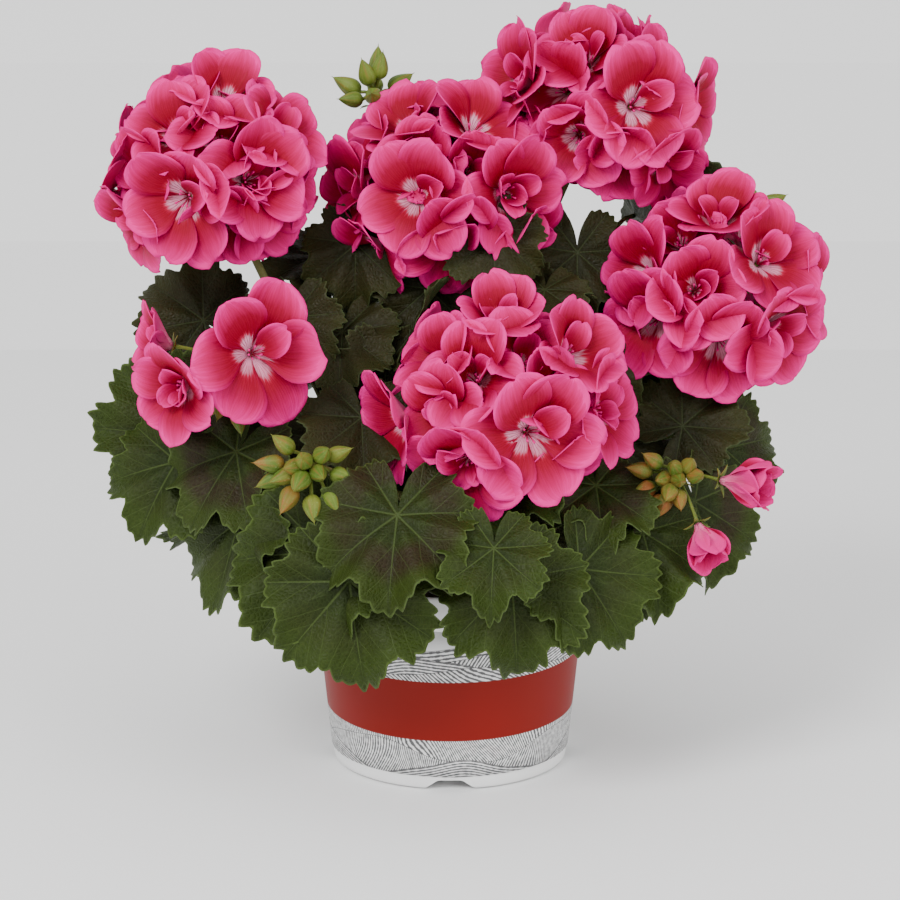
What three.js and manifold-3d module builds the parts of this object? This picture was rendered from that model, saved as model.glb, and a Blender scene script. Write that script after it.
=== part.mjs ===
// A zonal geranium in flower, growing in a printed nursery pot.
// Millimetres, +Z up. The pot stands on Z = 0 with its axis on Z; the label's front faces -Y.
import * as THREE from "three";
import { mergeVertices } from "three/addons/utils/BufferGeometryUtils.js";
import Module from "manifold-3d";

const wasm = await Module();
wasm.setup();

// ---- Pot ----
const POT_HEIGHT = 95;
const POT_SEGMENTS = 36;
const FOOT_RADIUS = 56; // outside radius at the foot
const BODY_RADIUS = 64; // outside radius where the body meets the rim
const RIM_RADIUS = 66.2; // outside radius at the top of the rim
const RIM_STEP_Z = 79; // underside of the rim
const WALL = 1.6;
const FLOOR = 2;
const CHANNEL_HEIGHT = 5; // the ring under the floor that water drains into
const PAD_RADIUS = 30; // flat pad the pot stands on, inside the channel
const NOTCH_BOTTOM = 24; // drain notches in the foot
const NOTCH_TOP = 11;
const LABEL_BOTTOM = 6.5;
const LABEL_TOP = 78;
const LABEL_THICKNESS = 0.4;
const LABEL_GAP = 0.1;
const SOIL_TOP = 81;
const SOIL_GAP = 0.3;

// ---- Plant ----
const CLEARANCE = 0.3; // gap kept between separate bodies
const LEAF_SPOKES = 15;
const LEAF_THICKNESS = 1.1;
const MARGIN_THICKNESS = 0.5;
const LEAF_LOBES = 5;
const PETIOLE_RADIUS = 1.3;
const STEM_RADIUS = 4.2;
const STALK_RADIUS = 1.9;
const PEDICEL_RADIUS = 0.9;
const FLORET_SPOKES = 10;
const FLORET_THICKNESS = 1.8;
const HUB_RADIUS = 3.2;
const BUD_RADIUS = 3.4;

const LEAF_GREEN = 0x2e4420;
const PETAL_PINK = 0xe8478c;
const STALK_GREEN = 0x6d8440;
const BUD_GREEN = 0x87a345;

const root = new THREE.Group();
root.name = "potted_geranium";

// ---- Small tools ----
const vec = ([x, y, z]) => new THREE.Vector3(x, y, z);

// The unit direction at an azimuth (from +X towards +Y) and an elevation, both in degrees.
function direction(azimuth, elevation) {
  const a = THREE.MathUtils.degToRad(azimuth);
  const e = THREE.MathUtils.degToRad(elevation);
  return new THREE.Vector3(Math.cos(a) * Math.cos(e), Math.sin(a) * Math.cos(e), Math.sin(e));
}

// A solid inside a closed geometry.
function solidOf(geometry) {
  geometry.deleteAttribute("normal");
  geometry.deleteAttribute("uv");
  const merged = mergeVertices(geometry, 1e-3);
  return new wasm.Manifold(new wasm.Mesh({
    numProp: 3,
    vertProperties: merged.attributes.position.array,
    triVerts: new Uint32Array(merged.index.array),
  }));
}

// A solid skinned over rings of points; the first and the last ring are one point each.
function loft(rings) {
  const points = [];
  const faces = [];
  const starts = rings.map((ring) => {
    const start = points.length / 3;
    ring.forEach((p) => points.push(p.x, p.y, p.z));
    return start;
  });
  for (let k = 0; k + 1 < rings.length; k++) {
    const low = rings[k];
    const high = rings[k + 1];
    const count = Math.max(low.length, high.length);
    for (let i = 0; i < count; i++) {
      const j = (i + 1) % count;
      const a = starts[k] + (low.length > 1 ? i : 0);
      const b = starts[k] + (low.length > 1 ? j : 0);
      const c = starts[k + 1] + (high.length > 1 ? j : 0);
      const d = starts[k + 1] + (high.length > 1 ? i : 0);
      if (low.length > 1) faces.push(a, b, d);
      if (high.length > 1) faces.push(b, c, d);
    }
  }
  return new wasm.Manifold(new wasm.Mesh({
    numProp: 3,
    vertProperties: new Float32Array(points),
    triVerts: new Uint32Array(faces),
  }));
}

// A round rod through the given points; `radii` is spread evenly over its length.
function rod(points, radii, sides, steps, grow = 0) {
  const curve = new THREE.CatmullRomCurve3(points, false, "centripetal");
  const frames = curve.computeFrenetFrames(steps);
  const rings = [[curve.getPointAt(0)]];
  for (let k = 0; k <= steps; k++) {
    const centre = curve.getPointAt(k / steps);
    const place = (k / steps) * (radii.length - 1);
    const low = Math.min(Math.floor(place), radii.length - 2);
    const radius = THREE.MathUtils.lerp(radii[low], radii[low + 1], place - low) + grow;
    const ring = [];
    for (let i = 0; i < sides; i++) {
      const turn = (2 * Math.PI * i) / sides;
      ring.push(centre.clone()
        .addScaledVector(frames.normals[k], radius * Math.cos(turn))
        .addScaledVector(frames.binormals[k], radius * Math.sin(turn)));
    }
    rings.push(ring);
  }
  rings.push([curve.getPointAt(1)]);
  return loft(rings);
}

// The biggest single piece of a solid that cuts may have split.
function biggest(solid) {
  const pieces = solid.decompose();
  pieces.sort((a, b) => b.volume() - a.volume());
  return pieces[0];
}

function addMesh(name, solid, color, roughness) {
  const mesh = solid.getMesh();
  const geometry = new THREE.BufferGeometry();
  geometry.setAttribute("position", new THREE.BufferAttribute(mesh.vertProperties, 3));
  geometry.setIndex(new THREE.BufferAttribute(mesh.triVerts, 1));
  geometry.computeVertexNormals();
  const material = new THREE.MeshStandardMaterial({ color, roughness, metalness: 0 });
  const object = new THREE.Mesh(geometry, material);
  object.name = name;
  root.add(object);
}

const boxesMeet = (a, b) => {
  const p = a.boundingBox();
  const q = b.boundingBox();
  return [0, 1, 2].every((i) => p.min[i] <= q.max[i] && q.min[i] <= p.max[i]);
};

// The solid without the room another body needs; a bare touch is left alone.
function cutBack(solid, other) {
  if (!boxesMeet(solid, other)) return solid;
  return solid.intersect(other).volume() > 0.005 ? solid.subtract(other) : solid;
}

// ---- Pot, label and soil ----
function lathe(profile) {
  const points = profile.map(([r, z]) => new THREE.Vector2(r, z));
  return solidOf(new THREE.LatheGeometry(points, POT_SEGMENTS).rotateX(Math.PI / 2));
}

const bodyRadius = (z) => THREE.MathUtils.lerp(FOOT_RADIUS, BODY_RADIUS, z / RIM_STEP_Z);

function pot() {
  const inside = (z) => bodyRadius(z) - WALL;
  const inFloor = CHANNEL_HEIGHT + FLOOR;
  const body = lathe([
    [0, 0],
    [PAD_RADIUS, 0],
    [PAD_RADIUS + 2, CHANNEL_HEIGHT],
    [FOOT_RADIUS - 4.5, CHANNEL_HEIGHT],
    [FOOT_RADIUS - 3.5, 0],
    [FOOT_RADIUS - 1, 0],
    [FOOT_RADIUS - 0.2, 0.6],
    [bodyRadius(2), 2],
    [bodyRadius(RIM_STEP_Z), RIM_STEP_Z],
    [BODY_RADIUS + 1.1, RIM_STEP_Z + 1],
    [RIM_RADIUS, POT_HEIGHT - 1.2],
    [RIM_RADIUS - 0.7, POT_HEIGHT],
    [RIM_RADIUS - 1.8, POT_HEIGHT],
    [RIM_RADIUS - 2.6, POT_HEIGHT - 1.5],
    [BODY_RADIUS - 0.7, RIM_STEP_Z + 2],
    [inside(RIM_STEP_Z), RIM_STEP_Z],
    [inside(inFloor), inFloor],
    [PAD_RADIUS + 0.5, inFloor],
    [PAD_RADIUS - 1.5, FLOOR],
    [0, FLOOR],
  ]);
  return footNotches().reduce((left, notch) => left.subtract(notch), body);
}

function footNotches() {
  const shape = new THREE.Shape([
    new THREE.Vector2(-NOTCH_BOTTOM / 2, -1),
    new THREE.Vector2(NOTCH_BOTTOM / 2, -1),
    new THREE.Vector2(NOTCH_TOP / 2, CHANNEL_HEIGHT - 0.4),
    new THREE.Vector2(-NOTCH_TOP / 2, CHANNEL_HEIGHT - 0.4),
  ]);
  return [0, 90, 180, 270].map((turn) => {
    const bar = new THREE.ExtrudeGeometry(shape, { depth: 8, bevelEnabled: false });
    bar.rotateX(Math.PI / 2).translate(0, 4 - FOOT_RADIUS + 4, 0);
    return solidOf(bar.rotateZ(THREE.MathUtils.degToRad(turn)));
  });
}

function label() {
  const inner = (z) => bodyRadius(z) + LABEL_GAP;
  return lathe([
    [inner(LABEL_BOTTOM), LABEL_BOTTOM],
    [inner(LABEL_BOTTOM) + LABEL_THICKNESS, LABEL_BOTTOM],
    [inner(LABEL_TOP) + LABEL_THICKNESS, LABEL_TOP],
    [inner(LABEL_TOP), LABEL_TOP],
    [inner(LABEL_BOTTOM), LABEL_BOTTOM],
  ]);
}

function soil() {
  const gap = WALL + SOIL_GAP;
  const inFloor = CHANNEL_HEIGHT + FLOOR + SOIL_GAP;
  return lathe([
    [0, FLOOR + SOIL_GAP],
    [PAD_RADIUS - 2.2, FLOOR + SOIL_GAP],
    [PAD_RADIUS - 0.2, inFloor],
    [bodyRadius(inFloor) - gap, inFloor],
    [bodyRadius(SOIL_TOP - 3) - gap, SOIL_TOP - 3],
    [48, SOIL_TOP - 1],
    [24, SOIL_TOP],
    [0, SOIL_TOP + 1],
  ]);
}

// ---- Leaves ----
// A leaf hangs on its petiole at `at`, reaches furthest at `tip`,
// and turns its upper side towards the azimuth and elevation in `face`.
function leafFrame(leaf) {
  const at = vec(leaf.at);
  const along = vec(leaf.tip).sub(at);
  const size = along.length();
  const normal = direction(...leaf.face);
  along.normalize();
  normal.addScaledVector(along, -normal.dot(along)).normalize();
  return { at, along, normal, across: normal.clone().cross(along), size };
}

// Distance from the petiole to the margin: five lobes, with the sinus behind the petiole.
function leafMargin(turn) {
  const body = 0.77 + 0.23 * Math.cos(turn);
  const sinus = 1 - 0.6 * Math.exp(-(((Math.abs(turn) - Math.PI) / 0.25) ** 2));
  return body * sinus * (0.94 + 0.06 * Math.cos(LEAF_LOBES * turn));
}

// Height of the blade above its own plane: a shallow dish with a waved margin.
function leafRise(reach, turn, size) {
  const wave = Math.cos(LEAF_LOBES * turn) * 0.035 + Math.sin(2 * turn) * 0.04;
  return size * reach * reach * (0.1 + wave - 0.12 * Math.max(0, Math.cos(turn)));
}

function blade(leaf, grow = 0) {
  const { at, along, normal, across, size } = leafFrame(leaf);
  const ring = (reach, lift, extra) => {
    const points = [];
    for (let i = 0; i < LEAF_SPOKES; i++) {
      const turn = (2 * Math.PI * i) / LEAF_SPOKES - Math.PI;
      const radius = size * leafMargin(turn) * reach + extra;
      points.push(at.clone()
        .addScaledVector(along, radius * Math.cos(turn))
        .addScaledVector(across, radius * Math.sin(turn))
        .addScaledVector(normal, leafRise(reach, turn, size) + lift));
    }
    return points;
  };
  const half = LEAF_THICKNESS / 2 + grow;
  const edge = MARGIN_THICKNESS / 2 + grow;
  return loft([
    [at.clone().addScaledVector(normal, -half)],
    ring(0.55, -half, 0),
    ring(1, -edge, grow),
    ring(1, edge, grow),
    ring(0.55, half, 0),
    [at.clone().addScaledVector(normal, half)],
  ]);
}

// Leaves by shoot. The front of the plant first, from the left round to the right.
const LEAVES = [
  { name: "leaf_01", shoot: 0, at: [-130, -8, 158], tip: [-156, 2, 191], face: [-108, 22] },
  { name: "leaf_02", shoot: 0, at: [-126, -30, 150], tip: [-148, -40, 117], face: [-112, 22] },
  { name: "leaf_03", shoot: 0, at: [-118, 28, 206], tip: [-146, 38, 226], face: [-104, 36] },
  { name: "leaf_04", shoot: 0, at: [-97, -46, 158], tip: [-122, -62, 128], face: [-118, 36] },
  { name: "leaf_05", shoot: 0, at: [-95, -56, 128], tip: [-111, -66, 88], face: [-138, 18] },
  { name: "leaf_06", shoot: 1, at: [-56, -86, 122], tip: [-88, -94, 85], face: [-106, 28] },
  { name: "leaf_07", shoot: 1, at: [-44, -103, 113], tip: [-38, -117, 67], face: [-94, 12] },
  { name: "leaf_08", shoot: 1, at: [-23, -97, 141], tip: [-30, -126, 108], face: [-96, 42] },
  { name: "leaf_09", shoot: 1, at: [19, -108, 129], tip: [17, -128, 105], face: [-90, 44] },
  { name: "leaf_10", shoot: 1, at: [27, -97, 112], tip: [31, -110, 71], face: [-86, 14] },
  { name: "leaf_11", shoot: 1, at: [57, -86, 114], tip: [70, -98, 76], face: [-62, 20] },
  { name: "leaf_12", shoot: 2, at: [82, -58, 107], tip: [91, -66, 85], face: [-44, 16] },
  { name: "leaf_13", shoot: 2, at: [87, -60, 124], tip: [98, -80, 93], face: [-72, 38] },
  { name: "leaf_14", shoot: 2, at: [113, -30, 131], tip: [127, -44, 95], face: [-56, 32] },
  { name: "leaf_15", shoot: 2, at: [130, 6, 148], tip: [158, 12, 125], face: [-78, 38] },
  { name: "leaf_16", shoot: 2, at: [109, -8, 162], tip: [134, 0, 184], face: [-78, 46] },
  { name: "leaf_17", shoot: 3, at: [90, 64, 252], tip: [86, 40, 272], face: [-88, 44] },
  { name: "leaf_18", shoot: 3, at: [114, 58, 262], tip: [127, 46, 284], face: [-70, 44] },
  { name: "leaf_19", shoot: 0, at: [-50, -4, 206], tip: [-52, -30, 183], face: [-98, 46] },
  { name: "leaf_20", shoot: 1, at: [-16, -8, 209], tip: [-8, -30, 228], face: [-88, 46] },
  { name: "leaf_21", shoot: 3, at: [-64, 34, 236], tip: [-66, 4, 222], face: [-94, 56] },
  { name: "leaf_22", shoot: 2, at: [60, 20, 240], tip: [60, 2, 207], face: [-82, 28] },
  { name: "leaf_23", shoot: 2, at: [44, -6, 226], tip: [40, -32, 214], face: [-96, 52] },
  { name: "leaf_24", shoot: 1, at: [-40, -46, 174], tip: [-39, -74, 152], face: [-96, 50] },
  { name: "leaf_25", shoot: 2, at: [66, -54, 144], tip: [72, -84, 126], face: [-70, 48] },
  { name: "leaf_26", shoot: 0, at: [-104, -14, 190], tip: [-124, -34, 174], face: [-122, 44] },
  { name: "leaf_27", shoot: 1, at: [26, -62, 148], tip: [24, -94, 134], face: [-92, 56] },
  // The far side of the plant.
  { name: "leaf_28", shoot: 2, at: [98, 30, 118], tip: [130, 44, 92], face: [22, 46] },
  { name: "leaf_29", shoot: 3, at: [62, 82, 118], tip: [84, 112, 90], face: [54, 46] },
  { name: "leaf_30", shoot: 3, at: [0, 100, 122], tip: [4, 134, 92], face: [88, 44] },
  { name: "leaf_31", shoot: 3, at: [-60, 84, 118], tip: [-80, 116, 92], face: [124, 46] },
  { name: "leaf_32", shoot: 0, at: [-104, 36, 116], tip: [-138, 52, 92], face: [158, 44] },
  { name: "leaf_33", shoot: 2, at: [106, 52, 170], tip: [138, 74, 152], face: [34, 52] },
  { name: "leaf_34", shoot: 3, at: [42, 108, 168], tip: [58, 144, 148], face: [66, 50] },
  { name: "leaf_35", shoot: 3, at: [-32, 112, 172], tip: [-44, 148, 150], face: [104, 50] },
  { name: "leaf_36", shoot: 3, at: [-92, 74, 168], tip: [-124, 100, 148], face: [140, 50] },
  { name: "leaf_37", shoot: 0, at: [-122, 28, 162], tip: [-158, 42, 144], face: [164, 52] },
  { name: "leaf_38", shoot: 2, at: [84, 40, 196], tip: [114, 62, 182], face: [30, 62] },
  { name: "leaf_39", shoot: 3, at: [34, 78, 214], tip: [46, 114, 200], face: [74, 60] },
  { name: "leaf_40", shoot: 3, at: [-30, 76, 216], tip: [-44, 112, 202], face: [110, 60] },
  { name: "leaf_41", shoot: 0, at: [-80, 52, 200], tip: [-110, 78, 188], face: [144, 60] },
  { name: "leaf_42", shoot: 3, at: [-4, 58, 232], tip: [-2, 92, 240], face: [90, 66] },
];

// ---- Flower heads and bud clusters ----
// `hub` is where the pedicels spring from the flower stalk. Each floret is given as
// [azimuth, elevation, distance from the hub, radius] and each bud as
// [azimuth, elevation, length].
const HEADS = [
  {
    name: "flower_head_a", shoot: 0, hub: [-109, 14, 275],
    florets: [
      [-107, -6, 44, 31], [-62, 4, 42, 30], [-24, 34, 44, 28], [-60, 74, 44, 26],
      [176, 13, 44, 26], [-128, 40, 40, 26], [-157, -24, 45, 26], [90, 24, 39, 28],
      [32, 6, 40, 24], [138, 50, 41, 26],
    ],
    buds: [[-38, -14, 38]],
  },
  {
    name: "flower_head_b", shoot: 3, hub: [-3, 34, 265],
    florets: [
      [-108, 6, 47, 31], [-46, 8, 49, 29], [-82, -22, 45, 29], [-52, 56, 45, 28],
      [-160, 4, 47, 28], [-140, 58, 43, 27], [-28, -24, 49, 27], [90, 22, 40, 28],
      [28, 22, 43, 26], [150, 24, 43, 26], [-140, -28, 49, 24],
    ],
    buds: [],
  },
  {
    name: "flower_head_c", shoot: 3, hub: [73, 52, 306],
    florets: [
      [-62, 12, 43, 32], [-158, 24, 47, 28], [-105, 54, 40, 27], [-10, 8, 49, 24],
      [-38, -26, 47, 24], [-108, -12, 38, 26], [145, 50, 43, 26], [88, 14, 40, 27],
      [32, 36, 40, 26],
    ],
    buds: [[-70, -40, 40]],
  },
  {
    name: "flower_head_d", shoot: 2, hub: [121, 22, 218],
    florets: [
      [-142, 24, 45, 28], [-104, 14, 43, 28], [-132, -8, 45, 29], [-84, -24, 43, 30],
      [-44, -14, 47, 30], [-46, 32, 47, 29], [-6, 6, 49, 26], [-66, 72, 45, 26],
      [90, 20, 38, 26], [38, 14, 40, 26], [172, 10, 37, 22],
    ],
    buds: [],
  },
  {
    name: "flower_head_e", shoot: 1, hub: [22, -52, 178],
    florets: [
      [-72, -2, 48, 32], [-112, -20, 46, 29], [-112, 34, 41, 27], [-162, 0, 50, 29],
      [-90, 78, 48, 24], [-26, 42, 50, 27], [-16, 4, 50, 28], [160, 40, 43, 24],
    ],
    buds: [[-88, -34, 34]],
  },
  {
    name: "flower_head_f", shoot: 0, hub: [-97, -38, 197],
    florets: [[-80, 18, 29, 29], [-138, -12, 36, 25], [176, 16, 38, 21]],
    buds: [[-112, -46, 30], [-84, -58, 34], [-66, -40, 30], [-150, -60, 26]],
  },
  {
    name: "bud_cluster_g", shoot: 1, hub: [-58, -80, 161],
    florets: [],
    buds: [
      [-100, 20, 22], [-160, 6, 26], [-150, 40, 24], [-60, 30, 22], [-20, 24, 22],
      [-170, -20, 26], [-128, -40, 28], [-84, -46, 30], [-50, -42, 28], [-24, -14, 24],
      [-104, -16, 24],
    ],
  },
  {
    name: "bud_cluster_h", shoot: 2, hub: [104, -44, 146],
    florets: [],
    buds: [
      [-150, 34, 24], [-165, 14, 26], [-155, -14, 26], [-140, -38, 26], [-110, -14, 24],
      [-100, 30, 22], [-70, 34, 22], [-172, -34, 28], [-35, 2, 42], [-68, -40, 44],
    ],
  },
  {
    name: "bud_cluster_i", shoot: 3, hub: [-36, 52, 306], via: [-36, 78, 250],
    florets: [],
    buds: [
      [-120, 50, 20], [170, 24, 22], [20, 26, 22], [-60, 60, 20], [-90, 14, 20],
      [90, 30, 20], [60, 74, 20],
    ],
  },
  {
    name: "bud_cluster_j", shoot: 2, hub: [146, 62, 254], via: [122, 70, 210],
    florets: [],
    buds: [[-110, 50, 20], [160, 44, 20], [10, 24, 20], [-40, 22, 20], [80, 30, 20]],
  },
];

// A semi-double floret as one shallow funnel with five petals.
function floret(hub, [azimuth, elevation, distance, radius]) {
  const normal = direction(azimuth, elevation);
  const throat = hub.clone().addScaledVector(normal, distance - 0.3 * radius);
  const across = new THREE.Vector3(0, 0, 1).cross(normal).normalize();
  const up = normal.clone().cross(across);
  const ring = (reach, lift) => {
    const points = [];
    for (let i = 0; i < FLORET_SPOKES; i++) {
      const turn = (2 * Math.PI * i) / FLORET_SPOKES;
      const spread = radius * reach * (0.89 + 0.11 * Math.cos(5 * turn));
      points.push(throat.clone()
        .addScaledVector(up, spread * Math.cos(turn))
        .addScaledVector(across, -spread * Math.sin(turn))
        .addScaledVector(normal, radius * 0.3 * reach * reach + lift));
    }
    return points;
  };
  const half = FLORET_THICKNESS / 2;
  const cup = loft([
    [throat.clone().addScaledVector(normal, -half)],
    ring(1, 0),
    [throat.clone().addScaledVector(normal, half)],
  ]);
  const pedicel = rod(
    [hub, hub.clone().lerp(throat, 0.5).add(new THREE.Vector3(0, 0, 2)), throat],
    [PEDICEL_RADIUS, 1.6], 4, 2);
  return cup.add(pedicel);
}

// A pedicel that swells into a closed bud.
function bud(hub, [azimuth, elevation, length]) {
  const out = direction(azimuth, elevation);
  const middle = hub.clone().addScaledVector(out, length * 0.5).add(new THREE.Vector3(0, 0, 2));
  const end = hub.clone().addScaledVector(out, length);
  const fat = BUD_RADIUS * (length > 36 ? 1.9 : 1);
  return rod([hub, middle, end],
    [PEDICEL_RADIUS, PEDICEL_RADIUS, PEDICEL_RADIUS, fat, fat, 0.3], 5, 5);
}

function flowerHead(head) {
  const hub = vec(head.hub);
  const knob = solidOf(new THREE.IcosahedronGeometry(HUB_RADIUS, 0).translate(...head.hub));
  const parts = [
    ...head.florets.map((f) => floret(hub, f)),
    ...head.buds.map((b) => bud(hub, b)),
  ];
  return biggest(parts.reduce((sum, part) => sum.add(part), knob)).simplify(0.3);
}

// ---- Shoots ----
// Four shoots rise from the soil; leaves and flower stalks spring from them.
const SHOOTS = [
  { name: "stem_left", path: [[-18, 0, 68], [-24, 0, 100], [-42, 2, 140], [-58, 8, 186]] },
  { name: "stem_front", path: [[0, -18, 68], [0, -24, 96], [-2, -38, 128], [2, -46, 150]] },
  { name: "stem_right", path: [[18, 2, 68], [24, 0, 100], [44, 4, 140], [60, 8, 184]] },
  { name: "stem_back", path: [[0, 20, 68], [0, 26, 104], [0, 36, 150], [6, 42, 200]] },
];

const shootCurve = (shoot) => new THREE.CatmullRomCurve3(shoot.path.map(vec), false, "centripetal");

// Where on its shoot a leaf or stalk that ends at `end` springs: lower for lower ends.
function springPoint(shoot, end) {
  const top = shoot.path[3][2];
  const height = 92 + 0.62 * Math.max(0, Math.min(end.z, 190) - 100);
  const along = (Math.min(height, top - 3) - 68) / (top - 68);
  return shootCurve(shoot).getPointAt(THREE.MathUtils.clamp(along, 0.2, 0.97));
}

function petiole(shoot, leaf, grow) {
  const { at, normal } = leafFrame(leaf);
  const end = at.clone().addScaledVector(normal, -LEAF_THICKNESS / 2 - CLEARANCE);
  const below = at.clone().addScaledVector(normal, -9);
  const start = springPoint(shoot, at);
  const middle = start.clone().lerp(below, 0.5);
  middle.z += 0.06 * start.distanceTo(below);
  return rod([start, middle, below, end], [PETIOLE_RADIUS * 1.3, PETIOLE_RADIUS], 5, 4, grow);
}

function flowerStalk(shoot, head, grow) {
  const hub = vec(head.hub);
  const start = springPoint(shoot, hub);
  const back = (head.via ? vec(head.via) : start.clone()).sub(hub).normalize();
  const end = hub.clone().addScaledVector(back, HUB_RADIUS + CLEARANCE + 0.2);
  const middle = head.via ? vec(head.via) : start.clone().lerp(end, 0.5);
  return rod([start, middle, end], [STALK_RADIUS * 1.2, STALK_RADIUS], 6, 3, grow);
}

function shootSolid(index, grow = 0) {
  const shoot = SHOOTS[index];
  const main = rod(shoot.path.map(vec), [STEM_RADIUS, 3.2, 2.6], 7, 5, grow);
  const stalks = HEADS.filter((h) => h.shoot === index).map((h) => flowerStalk(shoot, h, grow));
  const petioles = LEAVES.filter((l) => l.shoot === index).map((l) => petiole(shoot, l, grow));
  return [...stalks, ...petioles].reduce((sum, part) => sum.add(part), main);
}

// ---- Assembly ----
// Each body is cut back wherever it would come nearer than the clearance to an earlier one.
const placed = [];

function place(name, solid, room, color, roughness) {
  let kept = solid;
  for (const other of placed) kept = cutBack(kept, other);
  kept = biggest(kept.simplify(0.15));
  placed.push(room);
  addMesh(name, kept, color, roughness);
}

addMesh("pot", pot(), 0xf2f2f0, 0.35);
addMesh("label", label(), 0x8e2413, 0.4);

const shootRooms = SHOOTS.map((_, i) => shootSolid(i, CLEARANCE));
const soilBody = shootRooms.reduce((left, room) => left.subtract(room), soil());
addMesh("potting_soil", biggest(soilBody), 0x3a2b20, 1);
placed.push(pot());

SHOOTS.forEach((shoot, i) => {
  place(shoot.name, shootSolid(i), shootRooms[i], STALK_GREEN, 0.7);
});

HEADS.forEach((head) => {
  const solid = flowerHead(head);
  const isFlower = head.florets.length > 0;
  place(head.name, solid, solid, isFlower ? PETAL_PINK : BUD_GREEN, 0.6);
});

LEAVES.forEach((leaf) => {
  place(leaf.name, blade(leaf), blade(leaf, CLEARANCE), LEAF_GREEN, 0.6);
});

export default root;
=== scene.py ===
import random
from math import asin, cos, degrees, exp, hypot, pi, radians, sin, sqrt

import bpy
from mathutils import Matrix, Vector, noise


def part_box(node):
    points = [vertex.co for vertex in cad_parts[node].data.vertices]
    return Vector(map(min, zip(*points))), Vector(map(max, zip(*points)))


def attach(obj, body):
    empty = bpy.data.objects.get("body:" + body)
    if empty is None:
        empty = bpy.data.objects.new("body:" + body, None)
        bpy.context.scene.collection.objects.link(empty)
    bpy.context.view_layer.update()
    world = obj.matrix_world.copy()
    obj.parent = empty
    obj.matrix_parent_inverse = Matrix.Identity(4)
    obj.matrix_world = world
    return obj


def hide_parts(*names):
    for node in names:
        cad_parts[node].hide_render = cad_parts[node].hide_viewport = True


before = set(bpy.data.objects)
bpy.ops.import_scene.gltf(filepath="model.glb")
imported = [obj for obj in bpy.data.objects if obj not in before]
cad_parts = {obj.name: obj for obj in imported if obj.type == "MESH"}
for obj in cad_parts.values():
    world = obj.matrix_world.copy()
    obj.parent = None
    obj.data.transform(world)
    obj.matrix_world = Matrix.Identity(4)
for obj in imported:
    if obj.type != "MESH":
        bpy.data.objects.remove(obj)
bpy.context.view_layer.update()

# A zonal geranium in flower in a printed nursery pot, built round its CAD nodes.
# Lengths are in millimetres until Surface.to_object makes a mesh of them.
MM = 0.001
TAU = 2 * pi
UP = Vector((0, 0, 1))
LOBE = radians(48)  # from one main vein of a leaf to the next


# ---- helpers
def lerp(a, b, t):
    return a + (b - a) * t


def scaled(color, factor):
    return tuple(c * factor for c in color)


def smooth(t):
    t = min(1.0, max(0.0, t))
    return t * t * (3 - 2 * t)


def direction(azimuth, elevation):
    """Unit vector at an azimuth from +X towards +Y and an elevation, in degrees."""
    a, e = radians(azimuth), radians(elevation)
    return Vector((cos(a) * cos(e), sin(a) * cos(e), sin(e)))


def frame_on(normal, up):
    """Matrix whose Z is normal and whose Y is up, made square to it."""
    z = normal.normalized()
    y = (up - z * up.dot(z)).normalized()
    x = y.cross(z)
    return Matrix((x, y, z)).transposed()


def new_object(name, data):
    obj = bpy.data.objects.new(name, data)
    bpy.context.scene.collection.objects.link(obj)
    return obj


class Surface:
    """Points, faces and the two coordinate pairs that the materials read."""

    def __init__(self):
        self.points = []
        self.faces = []
        self.place = []  # where on its petal, leaf or bud a point is
        self.kind = []  # which kind of petal, and which side of it

    def add(self, points, faces, place, kind):
        start = len(self.points)
        self.points += points
        self.faces += [tuple(start + i for i in f) for f in faces]
        self.place += place
        self.kind += kind

    def add_shell(self, points, faces, place, kind, thickness):
        """The surface and its back, `thickness` mm behind it, joined round the margin."""
        normals = [Vector() for _ in points]
        rims = {}
        for f in faces:
            a, b, c = points[f[0]], points[f[1]], points[f[2]]
            n = (b - a).cross(c - a)
            for i in f:
                normals[i] += n
            for i, j in zip(f, f[1:] + f[:1]):
                if (j, i) in rims:
                    del rims[(j, i)]
                else:
                    rims[(i, j)] = True
        count = len(points)
        back = [
            p - n.normalized() * thickness if n.length > 0 else p.copy()
            for p, n in zip(points, normals)
        ]
        both = list(faces) + [tuple(count + i for i in reversed(f)) for f in faces]
        both += [(j, i, count + i, count + j) for i, j in rims]
        kinds = [(k, side) for side in (0.0, 1.0) for k in kind]
        self.add(points + back, both, place + place, kinds)

    def add_rings(self, points, ends, place, sides, kind):
        """Rings of `sides` points as a closed body, with a fan from each of the two ends."""
        rows = len(points) // sides
        faces = grid_faces(sides, rows, wrap=True)
        first, last, base = rows * sides, rows * sides + 1, (rows - 1) * sides
        for i in range(sides):
            j = (i + 1) % sides
            faces.append((first, j, i))
            faces.append((last, base + i, base + j))
        points = points + ends
        self.add(points, faces, place + [(0.5, 0.0), (0.5, 1.0)], [kind] * len(points))

    def to_object(self, name, material, slot, replaced=()):
        mesh = bpy.data.meshes.new(name)
        mesh.from_pydata([p * MM for p in self.points], [], self.faces)
        for layer_name, values in (("place", self.place), ("kind", self.kind)):
            layer = mesh.uv_layers.new(name=layer_name)
            for loop in mesh.loops:
                layer.data[loop.index].uv = values[loop.vertex_index]
        mesh.polygons.foreach_set("use_smooth", [True] * len(mesh.polygons))
        mesh.materials.append(material)
        mesh.update()
        obj = new_object(name, mesh)
        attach(obj, "root")
        if replaced:
            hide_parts(*replaced)


def grid_faces(columns, rows, wrap=False):
    """Quads over rows of points; each row has `columns` points, left to right."""
    faces = []
    last = columns if wrap else columns - 1
    for j in range(rows - 1):
        for i in range(last):
            k = (i + 1) % columns
            a, b = j * columns, (j + 1) * columns
            faces.append((a + i, a + k, b + k, b + i))
    return faces


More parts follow.
